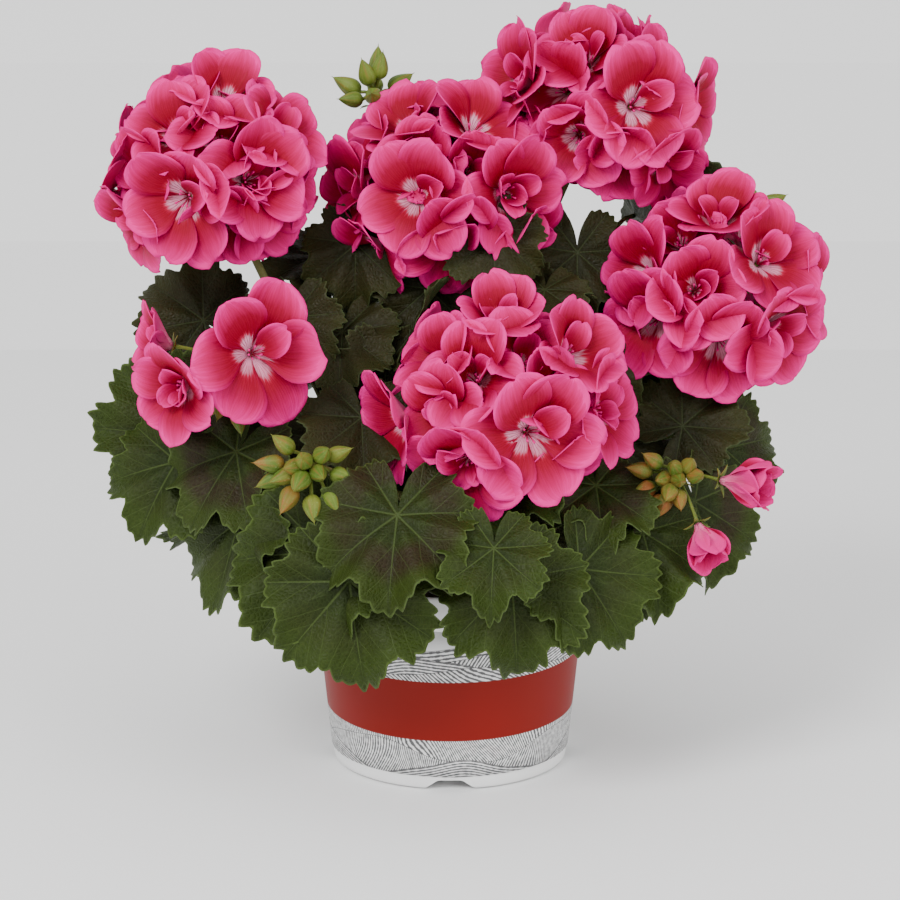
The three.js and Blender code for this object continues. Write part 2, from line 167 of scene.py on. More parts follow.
def curve_points(points, steps):
    """Evenly spaced points on a smooth line through the given ones (Catmull-Rom)."""
    pts = [points[0] * 2 - points[1]] + list(points) + [points[-1] * 2 - points[-2]]
    fine = []
    for k in range(1, len(pts) - 2):
        p0, p1, p2, p3 = pts[k - 1 : k + 3]
        for s in range(16):
            t = s / 16
            curve = 2 * p1 + (p2 - p0) * t + (2 * p0 - 5 * p1 + 4 * p2 - p3) * t * t
            fine.append(0.5 * (curve + (3 * p1 - p0 - 3 * p2 + p3) * t**3))
    fine.append(points[-1].copy())
    lengths = [0.0]
    for a, b in zip(fine, fine[1:]):
        lengths.append(lengths[-1] + (b - a).length)
    out = []
    k = 0
    for s in range(steps + 1):
        want = lengths[-1] * s / steps
        while k < len(fine) - 2 and lengths[k + 1] < want:
            k += 1
        span = lengths[k + 1] - lengths[k]
        t = (want - lengths[k]) / span if span > 1e-9 else 0
        out.append(fine[k].lerp(fine[k + 1], min(1.0, t)))
    return out


def upright(out, spare):
    """UP, or `spare` beside a direction so steep that UP can't set its roll."""
    return UP if abs(out.z) < 0.9 else spare


def add_rod(surface, points, radius_at, sides, steps, kind=0.0):
    """A closed round rod; radius_at(t) gives its radius along its length."""
    line = curve_points(points, steps)
    side = None
    verts, place = [], []
    for k, p in enumerate(line):
        ahead = (line[min(k + 1, steps)] - line[max(k - 1, 0)]).normalized()
        if side is None:
            side = ahead.orthogonal().normalized()
        side = (side - ahead * side.dot(ahead)).normalized()
        other = ahead.cross(side)
        r = radius_at(k / steps)
        for i in range(sides):
            a = TAU * i / sides
            verts.append(p + side * (r * cos(a)) + other * (r * sin(a)))
            place.append((i / sides, k / steps))
    surface.add_rings(verts, [line[0].copy(), line[-1].copy()], place, sides, (kind, 0.0))


# ---- materials
class Nodes:
    """A short way to write a material's node tree."""

    def __init__(self, name):
        self.material = bpy.data.materials.new(name)
        self.material.use_nodes = True
        self.tree = self.material.node_tree
        self.tree.nodes.clear()
        self.out = self.tree.nodes.new("ShaderNodeOutputMaterial")
        self.shader = self.tree.nodes.new("ShaderNodeBsdfPrincipled")
        self.tree.links.new(self.shader.outputs[0], self.out.inputs["Surface"])

    def put(self, socket, value):
        if isinstance(value, bpy.types.NodeSocket):
            self.tree.links.new(value, socket)
        elif isinstance(value, (tuple, list)) and len(value) == 3 and socket.type == "RGBA":
            socket.default_value = (*value, 1.0)
        else:
            socket.default_value = value

    def node(self, kind, inputs, output=0, **settings):
        """Adds a node, with values or links for its inputs, and gives one of its outputs."""
        n = self.tree.nodes.new("ShaderNode" + kind)
        for name, value in settings.items():
            setattr(n, name, value)
        for key, value in inputs.items():
            self.put(n.inputs[key], value)
        return n.outputs[output]

    def math(self, op, a, b=0.0, clamp=False):
        return self.node("Math", {0: a, 1: b}, operation=op, use_clamp=clamp)

    def plus(self, a, b, clamp=False):
        return self.math("ADD", a, b, clamp)

    def minus(self, a, b):
        return self.math("SUBTRACT", a, b)

    def times(self, a, b):
        return self.math("MULTIPLY", a, b)

    def ripple(self, value):
        """Distance from the middle of each unit step of value: 0.5 at whole numbers, 0 between."""
        return self.math("ABSOLUTE", self.minus(self.math("FRACT", value), 0.5))

    def range(self, value, low=0.3, high=0.7, to_low=0.0, to_high=1.0):
        inputs = {0: value, 1: low, 2: high, 3: to_low, 4: to_high}
        return self.node("MapRange", inputs, interpolation_type="SMOOTHSTEP")

    def mix(self, factor, a, b):
        return self.node("Mix", {0: factor, 6: a, 7: b}, 2, data_type="RGBA")

    def tint(self, color, mask, amount, other):
        return self.mix(self.times(mask, amount), color, other)

    def split(self, vector):
        return self.node("SeparateXYZ", {0: vector}).node.outputs

    def join(self, x, y, z=0.0):
        return self.node("CombineXYZ", {0: x, 1: y, 2: z})

    def uv(self, name):
        return self.split(self.node("UVMap", {}, uv_map=name))

    def position(self):
        return self.node("TexCoord", {}, "Object")

    def noise(self, vector, scale, detail=3.0, roughness=0.55):
        inputs = {"Vector": vector, "Scale": scale, "Detail": detail, "Roughness": roughness}
        return self.node("TexNoise", inputs, "Fac")

    def voronoi(self, vector, scale, feature="DISTANCE_TO_EDGE"):
        inputs = {"Vector": vector, "Scale": scale}
        return self.node("TexVoronoi", inputs, "Distance", feature=feature)

    def bump(self, height, strength, distance):
        return self.node("Bump", {"Strength": strength, "Distance": distance, "Height": height})

    def ramp(self, factor, stops):
        color_out = self.node("ValToRGB", {0: factor})
        elements = color_out.node.color_ramp.elements
        while len(elements) < len(stops):
            elements.new(0.5)
        for e, (at, color) in zip(elements, stops):
            e.position = at
            e.color = (*color, 1.0)
        return color_out

    def finish(self, color, roughness, normal, **constants):
        self.put(self.shader.inputs["Base Color"], color)
        self.put(self.shader.inputs["Roughness"], roughness)
        if normal is not None:
            self.put(self.shader.inputs["Normal"], normal)
        for key, value in constants.items():
            self.shader.inputs[key.replace("_", " ")].default_value = value
        return self.material


def petal_material():
    """Pink petals: crimson blotch, white throat with dark veins, paler backs."""
    m = Nodes("petal")
    u, v, _ = m.uv("place")
    white, side, _ = m.uv("kind")
    across = m.math("ABSOLUTE", m.minus(m.times(u, 2.0), 1.0))
    where = m.position()
    cloud = m.noise(where, 60.0, 2.0)
    streak = m.noise(m.join(m.times(u, 26.0), m.times(v, 2.0), cloud), 1.0, 3.0)
    rim = m.times(m.times(across, across), 0.26)
    along = m.plus(v, rim)
    along = m.plus(along, m.times(m.minus(streak, 0.5), 0.26))
    along = m.plus(along, m.times(m.minus(cloud, 0.5), 0.16))
    upper = m.ramp(along, [
        (0.0, (0.25, 0.004, 0.05)),
        (0.08, (0.82, 0.42, 0.58)),
        (0.30, (0.84, 0.44, 0.60)),
        (0.37, (0.44, 0.010, 0.05)),
        (0.42, (0.225, 0.0002, 0.009)),
        (0.68, (0.250, 0.0002, 0.016)),
        (0.84, (0.46, 0.0008, 0.085)),
        (0.98, (0.66, 0.0020, 0.180)),
        (1.0, (0.80, 0.010, 0.26)),
    ])
    lower = m.ramp(along, [
        (0.0, (0.35, 0.006, 0.05)),
        (0.08, (0.78, 0.25, 0.40)),
        (0.18, (0.74, 0.24, 0.38)),
        (0.26, (0.34, 0.002, 0.026)),
        (0.32, (0.225, 0.0002, 0.010)),
        (0.52, (0.265, 0.0003, 0.024)),
        (0.77, (0.50, 0.0010, 0.110)),
        (1.0, (0.76, 0.009, 0.24)),
    ])
    face = m.mix(white, lower, upper)
    # dark veins that run out of the throat over the white
    lines = m.ripple(m.plus(m.times(u, 9.0), m.times(cloud, 1.5)))
    veins = m.range(lines, 0.20, 0.06)
    veins = m.times(veins, m.range(v, 0.46, 0.22))
    veins = m.times(veins, m.range(v, 0.0, 0.08))
    veins = m.times(veins, m.plus(0.35, m.times(white, 0.55)))
    face = m.mix(veins, face, (0.30, 0.006, 0.075))
    fine = m.range(m.ripple(m.plus(m.times(u, 23.0), m.times(streak, 2.0))), 0.5, 0.0)
    face = m.mix(m.times(fine, 0.10), face, (0.62, 0.0, 0.08))
    back = m.ramp(along, [
        (0.0, (0.80, 0.40, 0.50)),
        (0.25, (0.76, 0.13, 0.30)),
        (0.7, (0.72, 0.028, 0.24)),
        (1.0, (0.72, 0.014, 0.22)),
    ])
    color = m.mix(side, face, back)
    rough = m.range(streak, 0.2, 0.8, 0.50, 0.62)
    height = m.plus(m.times(streak, 0.7), m.times(fine, 0.3))
    bump = m.bump(height, 0.35, 0.0006)
    return m.finish(color, rough, bump, Specular_IOR_Level=0.09)


def leaf_material(name, base, zone, light):
    """Geranium leaf: radiating veins, cells between them, a zone and a pale margin; painted shade
    darkens it towards the petiole and in the creases beside the main veins.
    """
    m = Nodes(name)
    u, v, _ = m.uv("place")
    reach, side, _ = m.uv("kind")
    x = m.minus(m.times(u, 4.0), 2.0)
    y = m.minus(m.times(v, 4.0), 2.0)
    where = m.position()
    cloud = m.noise(where, 45.0, 3.0)
    grain = m.noise(where, 420.0, 4.0, 0.6)
    angle = m.math("ARCTAN2", y, x)
    radius = m.math("SQRT", m.plus(m.times(x, x), m.times(y, y)))
    # angle from the nearest main vein: veins are LOBE apart, one of them to the tip
    delta = m.times(m.ripple(m.plus(m.math("DIVIDE", angle, LOBE), 8.5)), LOBE)
    lateral = m.times(radius, m.math("SINE", delta))
    ahead = m.times(radius, m.math("COSINE", delta))
    width = m.range(radius, 0.0, 1.0, 0.018, 0.005)
    main = m.range(m.math("DIVIDE", lateral, width), 1.0, 0.35)
    main = m.times(main, m.range(radius, 1.02, 0.7, 0.25, 1.0))
    wobble = m.times(m.minus(cloud, 0.5), 0.12)
    branch = m.minus(ahead, m.times(lateral, 1.5))
    branch = m.ripple(m.times(m.plus(branch, wobble), 4.6))
    minor = m.range(branch, 0.07, 0.0)
    minor = m.times(minor, m.range(radius, 0.18, 0.4))
    cells = m.voronoi(where, 520.0)
    net = m.range(cells, 0.10, 0.0)
    ring = m.times(m.range(radius, 0.28, 0.46), m.range(radius, 0.80, 0.58))
    ring = m.times(ring, m.range(cloud, 0.3, 0.6, 0.5, 1.0))
    tone = m.range(cloud, 0.25, 0.75)
    # painted shade: outer darkens the blade towards the petiole in its middle, and the cloud's
    # tone adds random lighter and darker patches on top
    outer = m.range(radius, 0.15, 0.85, 0.0, 0.75)
    outer = m.plus(outer, m.times(tone, 0.45), clamp=True)
    color = m.mix(outer, scaled(base, 0.66), scaled(base, 1.62))
    color = m.mix(m.times(ring, zone), color, (0.022, 0.0125, 0.0070))
    color = m.tint(color, m.range(grain, 0.35, 0.7), 0.22, scaled(base, 0.55))
    color = m.tint(color, net, 0.06, scaled(light, 2.0))
    # painted shade in the creases beside the main veins, where the pleats dip
    vein_crease_shade = m.range(m.math("DIVIDE", lateral, width), 6.0, 1.2)
    color = m.tint(color, vein_crease_shade, 0.35, scaled(base, 0.5))
    color = m.tint(color, minor, 0.30, light)
    color = m.tint(color, main, 0.4, scaled(light, 1.2))
    edge = m.range(reach, 0.962, 0.995)
    color = m.tint(color, edge, 0.5, scaled(light, 1.6))
    under = m.mix(m.times(main, 0.6), (0.044, 0.062, 0.022), (0.085, 0.115, 0.045))
    color = m.mix(side, color, under)
    height = m.minus(m.times(cells, 2.2), m.times(main, 1.6))
    height = m.minus(height, m.times(minor, 0.7))
    height = m.plus(height, m.times(grain, 0.35))
    bump = m.bump(height, 0.36, 0.0009)
    rough = m.range(grain, 0.3, 0.7, 0.46, 0.58)
    return m.finish(color, rough, bump, Specular_IOR_Level=0.12)


def stem_material():
    """Green, finely ridged stalks that blush reddish brown, under a dusting of hair."""
    m = Nodes("stem")
    red, _, _ = m.uv("kind")
    where = m.position()
    cloud = m.noise(where, 70.0, 3.0)
    hair = m.noise(where, 1600.0, 2.0)
    color = m.mix(m.range(cloud), (0.075, 0.115, 0.024), (0.14, 0.19, 0.05))
    blush = m.times(m.range(cloud, 0.25, 0.6, 0.6, 1.0), red)
    color = m.mix(blush, color, (0.17, 0.045, 0.03))
    color = m.tint(color, m.range(hair, 0.58, 0.7), 0.2, (0.30, 0.34, 0.20))
    bump = m.bump(hair, 0.4, 0.0003)
    return m.finish(color, m.range(hair, 0.3, 0.7, 0.5, 0.66), bump, Specular_IOR_Level=0.22)


def bud_material():
    """Closed buds: yellow-green sepals, paler ribs, rusty tips and seams."""
    m = Nodes("bud")
    u, v, _ = m.uv("place")
    pink, red, _ = m.uv("kind")
    where = m.position()
    cloud = m.noise(where, 110.0, 3.0)
    hair = m.noise(where, 1500.0, 2.0)
    rib = m.ripple(m.times(u, 5.0))
    color = m.mix(m.range(cloud), (0.065, 0.115, 0.011), (0.13, 0.18, 0.022))
    color = m.tint(color, m.range(rib, 0.16, 0.0), 0.3, (0.19, 0.235, 0.05))
    blush = m.times(m.range(rib, 0.30, 0.5), m.range(v, 0.15, 0.75))
    blush = m.plus(m.times(blush, 0.35), m.times(red, m.range(cloud, 0.35, 0.6)))
    color = m.mix(m.math("MINIMUM", blush, 0.8), color, (0.26, 0.055, 0.018))
    color = m.tint(color, m.range(hair, 0.58, 0.7), 0.15, (0.40, 0.45, 0.26))
    folds = m.noise(m.join(m.times(u, 12.0), m.times(v, 2.0)), 1.0, 2.0)
    flower = m.mix(m.range(folds), (0.60, 0.004, 0.12), (0.75, 0.12, 0.28))
    color = m.mix(pink, color, flower)
    bump = m.bump(m.plus(hair, m.times(rib, 2.0)), 0.35, 0.0004)
    return m.finish(color, m.range(hair, 0.3, 0.7, 0.45, 0.6), bump, Specular_IOR_Level=0.22)


def pot_material():
    """Moulded white plastic with faint mould lines and a cloudy tone, and painted shade along its
    foot where it meets the floor.
    """
    m = Nodes("pot_plastic")
    where = m.position()
    cloud = m.noise(where, 24.0, 3.0)
    fine = m.noise(where, 900.0, 2.0)
    _, _, z = m.split(where)
    color = m.mix(m.range(cloud), (0.80, 0.80, 0.80), (0.86, 0.86, 0.855))
    # painted shade: the lowest 4 mm of the wall darken to grey towards the floor
    color = m.tint(color, m.range(z, 0.004, 0.0), 0.18, (0.55, 0.54, 0.52))
    bump = m.bump(fine, 0.10, 0.0002)
    return m.finish(color, m.range(fine, 0.3, 0.7, 0.30, 0.40), bump, Specular_IOR_Level=0.5)


LABEL_UNIT = 100.0  # millimetres in one unit of the label's "place" coordinates
LABEL_RADIUS = 60  # the film's mean radius, for lengths round it
LABEL_WRAP = 0.9995  # part of the turn that the film covers
# The band's lower and upper edges, each as the heights where it is off and fully on.
BAND_EDGES = ((24.3, 24.6), (53.7, 53.4))
# Each field of the label: skyline height, swell, length and start; slope of its lines, or
# None where they follow the hill; pitch; wander. In millimetres.
FIELDS = [
    (69.5, 2.0, 15.0, 0.4, None, 1.9, 0.0),
    (67.0, 4.0, 22.0, 5.4, -1.1, 1.55, 14.0),
    (62.0, 3.2, 12.0, 2.6, None, 1.5, 0.0),
    (57.5, 3.0, 19.0, 0.8, 0.7, 1.5, 12.0),
    (30.0, 1.5, 40.0, 1.0, 2.6, 1.25, 22.0),
    (18.0, 5.0, 17.0, 3.9, -3.4, 1.25, 18.0),
    (10.5, 4.2, 13.5, 1.2, None, 1.3, 0.0),
]


def label_material():
    """Printed film: engraved rolling fields above and below a plain red-brown band."""
    m = Nodes("label_film")
    u, v, _ = m.uv("place")
    x = m.times(u, LABEL_UNIT)
    dip = m.minus(1.0, m.math("COSINE", m.math("DIVIDE", x, LABEL_RADIUS)))
    z = m.minus(m.times(v, LABEL_UNIT), m.times(dip, 2.6))
    wander = m.noise(m.join(m.times(x, 0.03), m.times(z, 0.03)), 1.0, 0.0)
    press = m.noise(m.join(x, z), 0.45, 2.0)

    def ridge(height, swell, length, start):
        """Skyline of one hill, as a height for each place round the pot."""
        wave = m.math("SINE", m.plus(m.math("DIVIDE", x, length), start))
        small = m.math("SINE", m.math("DIVIDE", x, length * 0.37))
        wave = m.plus(m.times(wave, swell), height)
        return m.plus(wave, m.times(small, swell * 0.12))

    def hatch(across, pitch):
        """Engraving lines `pitch` mm apart, pressed harder here and there."""
        line = m.ripple(m.math("DIVIDE", across, pitch))
        weight = m.range(press, 0.3, 0.7, 0.16, 0.36)
        return m.range(m.minus(line, weight), 0.07, -0.07)

    def slanted(slope, bend):
        """Distance across lines that lean by `slope` and wander by `bend` mm."""
        scale = 1 / hypot(slope, 1)
        across = m.plus(m.times(x, slope * scale), m.times(z, scale))
        return m.plus(across, m.times(wander, bend))

    shade = 0.0
    for height, swell, length, start, slope, pitch, bend in FIELDS:
        below = m.minus(ridge(height, swell, length, start), z)
        lines = hatch(below if slope is None else slanted(slope, bend), pitch)
        outline = m.range(m.math("ABSOLUTE", below), 0.40, 0.18)
        field = m.math("MAXIMUM", m.times(lines, 0.9), outline)
        change = m.times(m.range(below, 0.0, 0.12), m.minus(field, shade))
        shade = m.plus(change, shade)
    paper = m.mix(shade, (0.80, 0.80, 0.80), (0.035, 0.036, 0.038))
    band = m.times(*(m.range(z, *edge) for edge in BAND_EDGES))
    grain = m.noise(m.join(x, z), 2.5, 3.0)
    red = m.mix(m.range(grain), (0.195, 0.0060, 0.0030), (0.215, 0.0075, 0.0035))
    color = m.mix(band, paper, red)
    bump = m.bump(grain, 0.06, 0.0002)
    return m.finish(color, m.range(grain, 0.3, 0.7, 0.42, 0.5), bump, Specular_IOR_Level=0.16)


def soil_material():
    """Dark peat mix with fibres and paler grains."""
    m = Nodes("soil")
    where = m.position()
    clumps = m.noise(where, 160.0, 5.0, 0.7)
    grains = m.voronoi(where, 420.0, "F1")
    color = m.mix(m.range(clumps), (0.018, 0.011, 0.007), (0.075, 0.046, 0.028))
    color = m.mix(m.range(grains, 0.16, 0.08), color, (0.30, 0.26, 0.20))
    height = m.plus(clumps, m.times(grains, 0.5))
    return m.finish(color, m.range(clumps, 0.3, 0.7, 0.85, 0.98), m.bump(height, 0.9, 0.003))


PETAL = petal_material()
STEM = stem_material()
BUD = bud_material()
POT = pot_material()
LABEL = label_material()
SOIL = soil_material()
LEAF_MATERIALS = [
    leaf_material("leaf_green", (0.0155, 0.0255, 0.0030), 0.20, (0.062, 0.092, 0.022)),
    leaf_material("leaf_dark", (0.0165, 0.0165, 0.0040), 0.35, (0.036, 0.050, 0.018)),
    leaf_material("leaf_zoned", (0.0165, 0.0255, 0.0032), 0.90, (0.058, 0.085, 0.022)),
]


# ---- the plant's own measures
def merged(node):
    """The node's points in millimetres, merged, and its triangles on them."""
    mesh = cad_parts[node].data
    index, points, of_vertex = {}, [], []
    for v in mesh.vertices:
        p = v.co / MM
        key = (round(p.x, 2), round(p.y, 2), round(p.z, 2))
        if key not in index:
            index[key] = len(points)
            points.append(p.copy())
        of_vertex.append(index[key])
    mesh.calc_loop_triangles()
    faces = [tuple(of_vertex[i] for i in t.vertices) for t in mesh.loop_triangles]
    return points, faces


def leaf_frame(node):
    """Where a CAD blade joins its petiole, the way its tip and face look, and its reach."""
    points, faces = merged(node)
    uses = [0] * len(points)
    normals = [Vector() for _ in points]
    for f in faces:
        n = (points[f[1]] - points[f[0]]).cross(points[f[2]] - points[f[0]])
        for i in f:
            uses[i] += 1
            normals[i] += n
    poles = sorted(range(len(points)), key=lambda i: -uses[i])[:2]
    outward = [normals[i].normalized() for i in poles]
    scores = [n.z + 0.4 * Vector((points[i].x, points[i].y, 0)).normalized().dot(n)
              for n, i in zip(outward, poles)]
    top = 0 if scores[0] >= scores[1] else 1
    at, normal = points[poles[top]], outward[top]
    centre = Vector()
    weight = 0.0
    for f in faces:
        a, b, c = (points[i] for i in f)
        area = (b - a).cross(c - a).length
        centre += (a + b + c) / 3 * area
        weight += area
    along = centre / weight - at
    along -= normal * along.dot(normal)
    along.normalize()
    reach = max((p - at).length for p in points)
    return at, along, normal, reach


def hub_of(key):
    """The hub of head or bud cluster `key`, from the middle of its CAD box, and its node."""
    node = f"flower_head_{key}" if key in HEADS else f"bud_cluster_{key}"
    offset, _ = HEADS.get(key) or CLUSTERS[key]
    lo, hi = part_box(node)
    return (lo + hi) / 2 / MM + Vector(offset), node


# ---- petals and florets
class Place:
    """Turns floret space, where +Z looks out and +Y is the top, into the plant's frame."""

    def __init__(self, origin, turn):
        self.origin = origin
        self.turn = turn

    def __matmul__(self, p):
        return self.origin + self.turn @ p


def petal_half_width(t):
    """Outline of a petal: a narrow claw that widens to a broad rounded blade."""
    blade = 0.13 + 0.87 * smooth((t - 0.03) / 0.58)
    if t > 0.64:
        blade *= sqrt(max(0.0, 1 - ((t - 0.64) / 0.365) ** 2.5))
    return blade


def add_petal(surface, place, turn, length, width, opens, ends, cup, rng, white):
    """One petal: `opens` and `ends` are its angles from the axis at the claw and the tip."""
    columns, rows = 11, 14
    phase = rng.uniform(0, TAU)
    crease = rng.uniform(-0.04, 0.05)
    twist = rng.uniform(-0.18, 0.18)
    lean = rng.uniform(-0.10, 0.10)
    wave = rng.uniform(0.015, 0.06)
    skew = rng.uniform(-0.05, 0.05)
    notch_depth = rng.choice((0.0, 0.02, 0.05))
    y, z, before = 1.0, 0.0, 0.0
    points, uvs = [], []
    for j in range(rows):
        t = 1 - (1 - j / (rows - 1)) ** 1.25
        a = radians(lerp(opens, ends, smooth(t)))
        y += (t - before) * length * sin(a)
        z += (t - before) * length * cos(a)
        before = t
        half = width / 2 * petal_half_width(min(t, 0.994))
        for i in range(columns):
            s = -1 + 2 * i / (columns - 1)
            lift = cup * half * s * s
            lift += crease * length * cos(pi * s) * t * (1 - t) * 1.6
            lift += wave * length * t**2.2 * s * s * sin(2.6 * s + 3.0 * t + phase)
            lift += 0.006 * length * t**3 * sin(8 * s + phase * 2)
            lift += twist * s * half * t
            tip = -notch_depth * length * t**5 * exp(-((s / 0.35) ** 2))
            tip += skew * length * s * t**3
            p = Vector((
                half * s + lean * t * t * length,
                y - lift * cos(a) + tip * sin(a),
                z + lift * sin(a) + tip * cos(a),
            ))
            points.append(p)
            uvs.append((i / (columns - 1), t))
    roll = Matrix.Rotation(radians(-turn), 3, "Z")
    points = [place @ (roll @ p) for p in points]
    surface.add_shell(points, grid_faces(columns, rows), uvs, [white] * len(points), 0.3)


# Turn from the top, length, width, angle at the claw and at the tip, cup, white throat.
OPEN_PETALS = [
    (-28, 1.08, 0.86, 34, 66, 0.24, 1.0),
    (27, 1.10, 0.88, 36, 70, 0.22, 1.0),
    (95, 1.04, 0.84, 46, 84, 0.16, 0.65),
    (-96, 1.04, 0.82, 46, 86, 0.16, 0.7),
    (155, 1.06, 0.88, 50, 92, 0.10, 0.6),
    (-152, 1.06, 0.86, 50, 90, 0.12, 0.6),
]
PETALOIDS = [
    (64, 0.72, 0.46, 24, 52, 0.55, 0.7),
    (-60, 0.66, 0.44, 22, 56, 0.55, 0.8),
    (182, 0.60, 0.42, 20, 60, 0.50, 0.5),
    (122, 0.50, 0.34, 18, 44, 0.70, 0.5),
]


def add_floret(surface, throat, normal, up, size, seed, close, extra):
    """A semi-double floret: `close` under 1 holds its petals in, `extra` counts petaloids."""
    rng = random.Random(seed)
    place = Place(throat, frame_on(normal, up))
    for index, (turn, length, width, opens, ends, cup, white) in enumerate(
        OPEN_PETALS + PETALOIDS[:extra]
    ):
        loose = 12 if index >= len(OPEN_PETALS) else 7
        add_petal(
            surface, place,
            turn + rng.uniform(-loose, loose),
            length * size * rng.uniform(0.92, 1.06),
            width * size * rng.uniform(0.92, 1.08),
            (opens + rng.uniform(-6, 6)) * close,
            (ends + rng.uniform(-14, 12)) * close,
            cup * rng.uniform(0.4, 1.5), rng, white * rng.uniform(0.8, 1.0),
        )
    # stamens, thicker at the tip
    for k in range(7):
        a = TAU * k / 7 + rng.uniform(-0.3, 0.3)
        reach = size * rng.uniform(0.20, 0.30)
        tip = Vector((sin(a) * reach * 0.45, cos(a) * reach * 0.45, reach))
        line = [place @ Vector(), place @ (tip * 0.55), place @ tip]
        add_rod(surface, line, lambda t: 0.28 + 0.30 * smooth((t - 0.75) / 0.2), 5, 4, 0.0)


# Each head: its hub from the middle of its CAD box, and its florets as
# [azimuth, elevation, distance from the hub, size, roll, closing].
HEADS = {
    "a": ((-0.5, 3.3, -6), [
        (-107, -6, 44, 31, 10, 1), (-62, 4, 42, 30, -30, 1), (-24, 34, 44, 28, 25, 1),
        (-60, 74, 44, 26, 0, 0.95), (176, 13, 44, 26, 20, 0.9), (-128, 40, 40, 26, -10, 0.95),
        (-157, -24, 45, 26, 15, 1), (90, 24, 39, 28, 0, 1), (32, 6, 40, 24, 0, 1),
        (138, 50, 41, 26, 0, 1),
    ]),
    "b": ((-1, 3.8, -6.4), [
        (-108, 6, 47, 31, 5, 1), (-46, 8, 49, 29, 0, 1), (-82, -22, 45, 29, 10, 1),
        (-52, 56, 45, 28, 10, 0.9), (-160, 4, 47, 28, -10, 1), (-140, 58, 43, 27, -15, 0.9),
        (-28, -24, 49, 27, 0, 1), (90, 22, 40, 28, 0, 1), (28, 22, 43, 26, 0, 1),
        (150, 24, 43, 26, 0, 1), (-140, -28, 49, 24, 0, 1),
    ]),
    "c": ((-2.2, 3, -10.3), [
        (-62, 12, 43, 32, 5, 1), (-158, 24, 47, 28, -20, 0.92), (-105, 54, 40, 27, 0, 0.88),
        (-10, 8, 49, 24, 20, 0.95), (-38, -26, 47, 24, 0, 1), (-108, -12, 38, 26, 0, 0.85),
        (145, 50, 43, 26, 0, 1), (88, 14, 40, 27, 0, 1), (32, 36, 40, 26, 0, 1),
    ]),
    "d": ((-1.5, 5.4, -5.6), [
        (-142, 24, 45, 28, -10, 1), (-104, 14, 43, 28, 10, 0.95), (-132, -8, 45, 29, 0, 1),
        (-84, -24, 43, 30, 0, 1), (-44, -14, 47, 30, 10, 1), (-46, 32, 47, 29, 15, 1),
        (-6, 6, 49, 26, 10, 1), (-66, 72, 45, 26, 0, 0.85), (90, 20, 38, 26, 0, 1),
        (38, 14, 40, 26, 0, 1), (172, 10, 37, 22, 0, 1),
    ]),
    "e": ((0.7, 12.1, -7.9), [
        (-72, -2, 48, 32, 0, 1), (-112, -20, 46, 29, -15, 1), (-112, 34, 41, 27, 0, 0.95),
        (-162, 0, 50, 29, -20, 0.92), (-90, 78, 48, 24, 0, 0.8), (-26, 42, 50, 27, 15, 0.88),
        (-16, 4, 50, 28, 10, 1), (160, 40, 43, 24, 0, 1),
    ]),
    "f": ((5.9, 10, -3.9), [
        (-66, 24, 32, 32, 0, 1.08), (-138, -12, 37, 26, -25, 0.9), (176, 16, 38, 21, -15, 0.8),
    ]),
}


def throat_of(hub, azimuth, elevation, distance, size):
    """The floret's throat, and the way it faces."""
    out = direction(azimuth, elevation)
    return hub + out * (distance - 0.36 * size), out


# Florets that fill a dome's gaps: directions tried, the sine of elevation that they span,
# the degrees kept from other florets, distance as part of the others' mean, size, closing.
GAP_TRIES, GAP_SPAN, GAP_ANGLE = 160, 1.5, 29
GAP_DEPTH, GAP_SIZE, GAP_CLOSING = 0.86, 24, 0.9
GOLDEN_ANGLE = 137.508
SMALL_HEAD = 5  # a head of this many florets or fewer isn't filled
SWAY = 0.2  # how far a floret's facing strays from straight out
TO_LIGHT = Vector((0, -0.22, 0.06))  # florets on the window side turn this way


def gap_florets(florets):
    """Smaller florets, a little deeper in the dome, where the listed ones leave gaps."""
    taken = [direction(f[0], f[1]) for f in florets]
    far = sum(f[2] for f in florets) / len(florets)
    found = []
    for k in range(GAP_TRIES):
        elevation = degrees(asin(1 - GAP_SPAN * (k + 0.5) / GAP_TRIES))
        azimuth = (k * GOLDEN_ANGLE) % 360 - 180
        out = direction(azimuth, elevation)
        if min(degrees(out.angle(t)) for t in taken) > GAP_ANGLE:
            taken.append(out)
            roll = (k * 71) % 60 - 30
            found.append((azimuth, elevation, far * GAP_DEPTH, GAP_SIZE, roll, GAP_CLOSING))
    return found


def build_heads():
    """Each head: its listed florets, one piece of florets in its gaps, one of its stalks."""
    for key, (_, florets) in HEADS.items():
        hub, node = hub_of(key)
        rng = random.Random(node)
        green = Surface()
        listed = len(florets)
        if listed > SMALL_HEAD:
            florets = florets + gap_florets(florets)
        inner = Surface()
        for k, (az, el, distance, size, roll, close) in enumerate(florets):
            throat, out = throat_of(hub, az, el, distance, size)
            out = out + Vector([rng.uniform(-SWAY, SWAY) for _ in range(3)])
            if out.y < 0.3:
                out = out + TO_LIGHT
            out = out.normalized()
            up = upright(out, direction(az + 180, 0))
            up = Matrix.Rotation(radians(roll), 3, out) @ up
            bloom = Surface() if k < listed else inner
            add_floret(bloom, throat, out, up, size, f"{key}{k}", close, extra=(k * 3 + 1) % 5)
            if k < listed:
                bloom.to_object(f"floret_{key}{k + 1}", PETAL, "petal")
            add_pedicel(green, hub, throat, out, size)
        if listed > SMALL_HEAD:
            inner.to_object(f"inner_florets_{key}", PETAL, "petal")
        add_hub(green, hub)
        for bud in HEAD_BUDS.get(key, []):
            add_bud(green, hub, *bud, seed=f"{key}{bud}")
        green.to_object(f"pedicels_{key}", BUD, "bud", [node])


def add_pedicel(surface, hub, throat, out, size):
    """A pedicel and the five narrow sepals behind a floret."""
    line = [hub, hub.lerp(throat, 0.55) + UP * 1.5, throat]
    add_rod(surface, line, lambda t: 0.75 + 0.55 * smooth((t - 0.8) / 0.2), 7, 8)
    turn = frame_on(out, upright(out, Vector((1, 0, 0))))
    for k in range(5):
        add_sepal(surface, Place(throat, turn), TAU * (k + 0.5) / 5, size * 0.30, 50)


